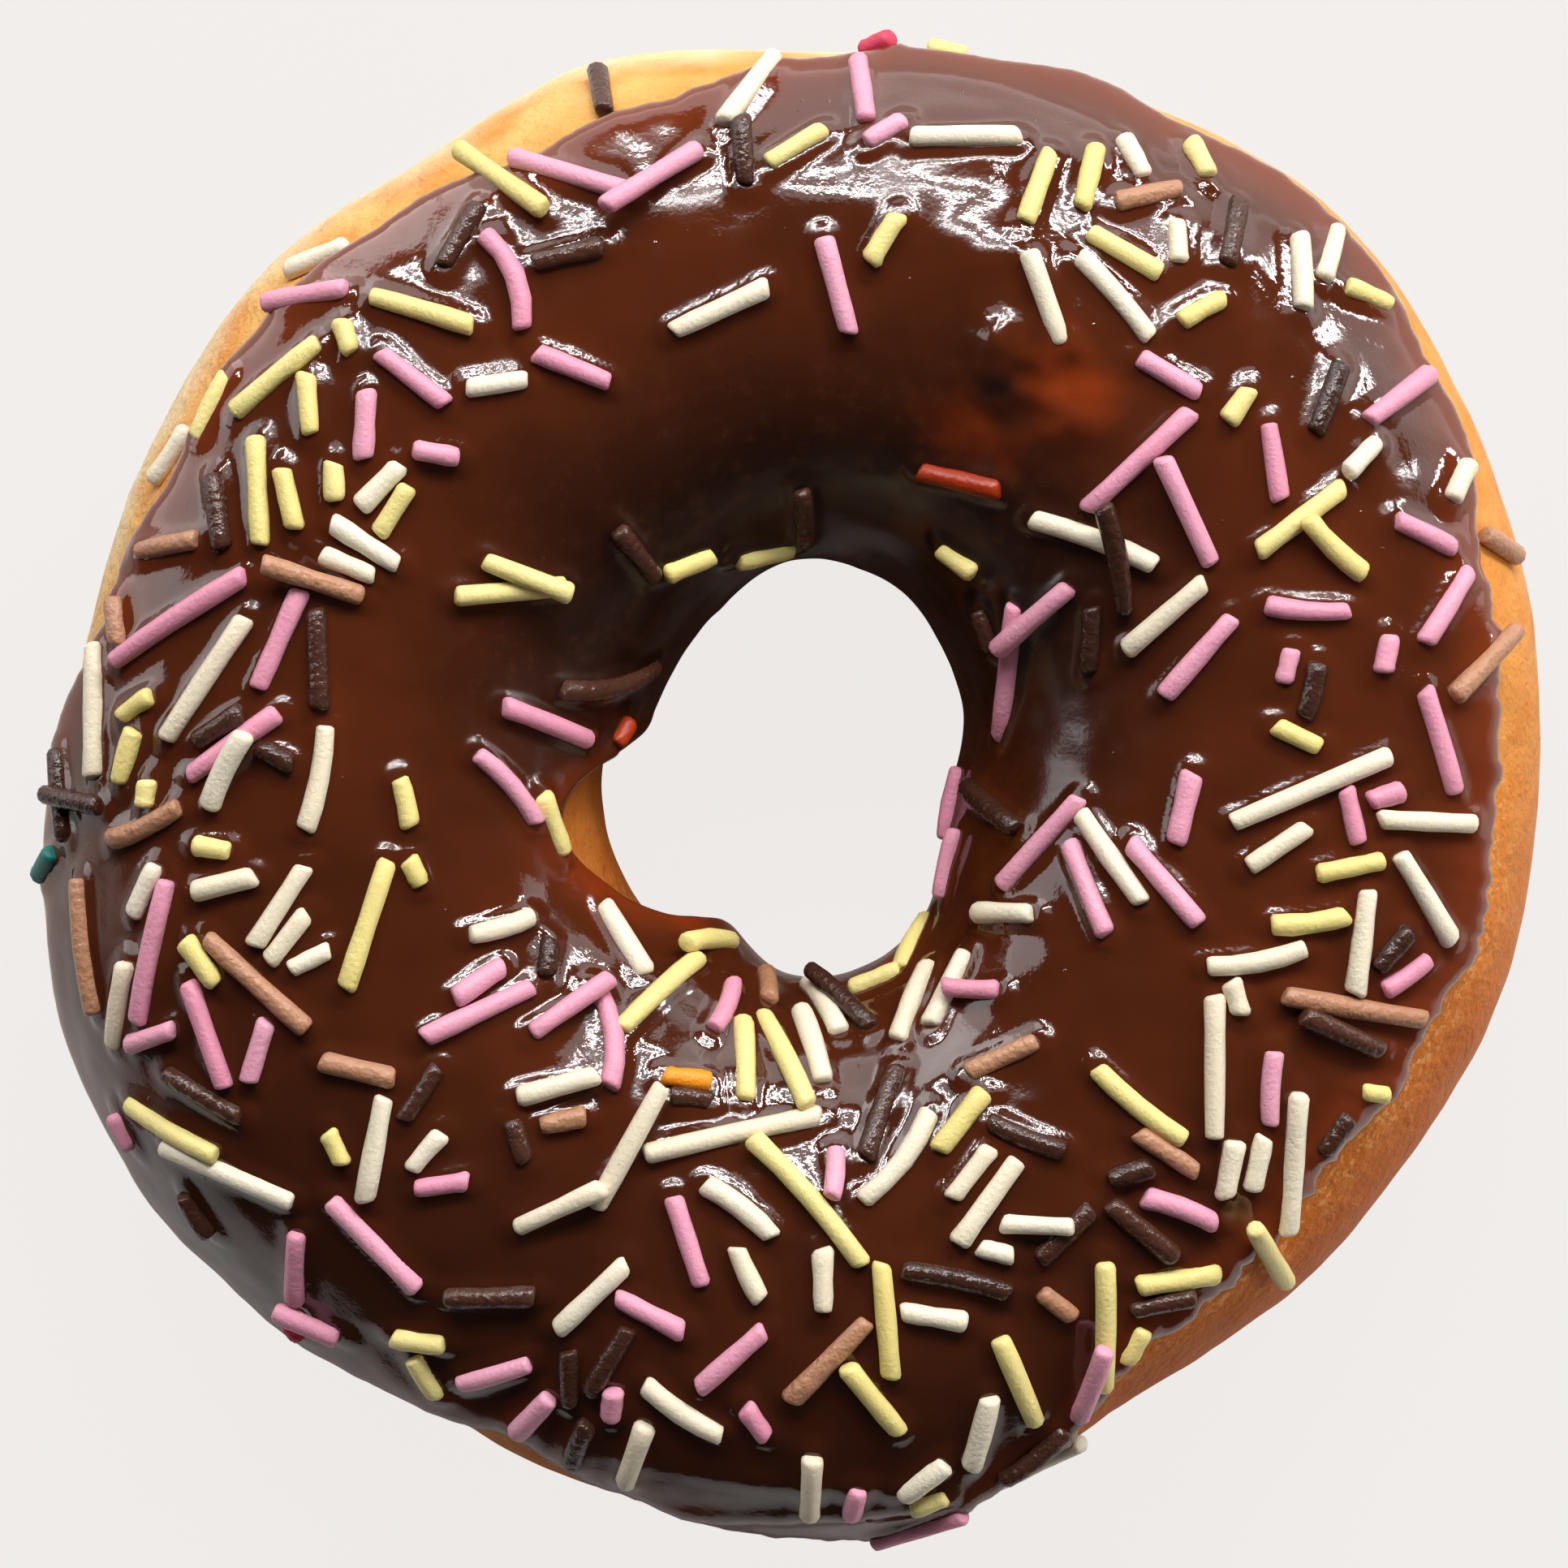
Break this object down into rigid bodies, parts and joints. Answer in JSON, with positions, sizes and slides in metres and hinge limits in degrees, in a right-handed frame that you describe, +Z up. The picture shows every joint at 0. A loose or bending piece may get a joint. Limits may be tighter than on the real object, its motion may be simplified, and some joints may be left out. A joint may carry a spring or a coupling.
{
  "type": "sprinkle frosted doughnut",
  "caption": "Ring doughnut with a golden fried crust, glossy dark chocolate icing over its top and coloured sugar sprinkles stuck in the icing.",
  "frame": {"origin": "centre of the ring's plan box, at the bottom the ring rests on", "axes": "+Z up through the hole, +X to the right and +Y away from a viewer who looks down on the iced side"},
  "size_m": [0.0952, 0.0949, 0.0355],
  "materials": {
    "crust": "golden brown fried dough crust with a paler belt, matte and finely wrinkled",
    "chocolate": "dark chocolate icing, wet gloss, with pink, cream, yellow and brown sugar sprinkles"
  },
  "bodies": {
    "root": {"dough": "crust", "icing": "chocolate"}
  },
  "joints": []
}
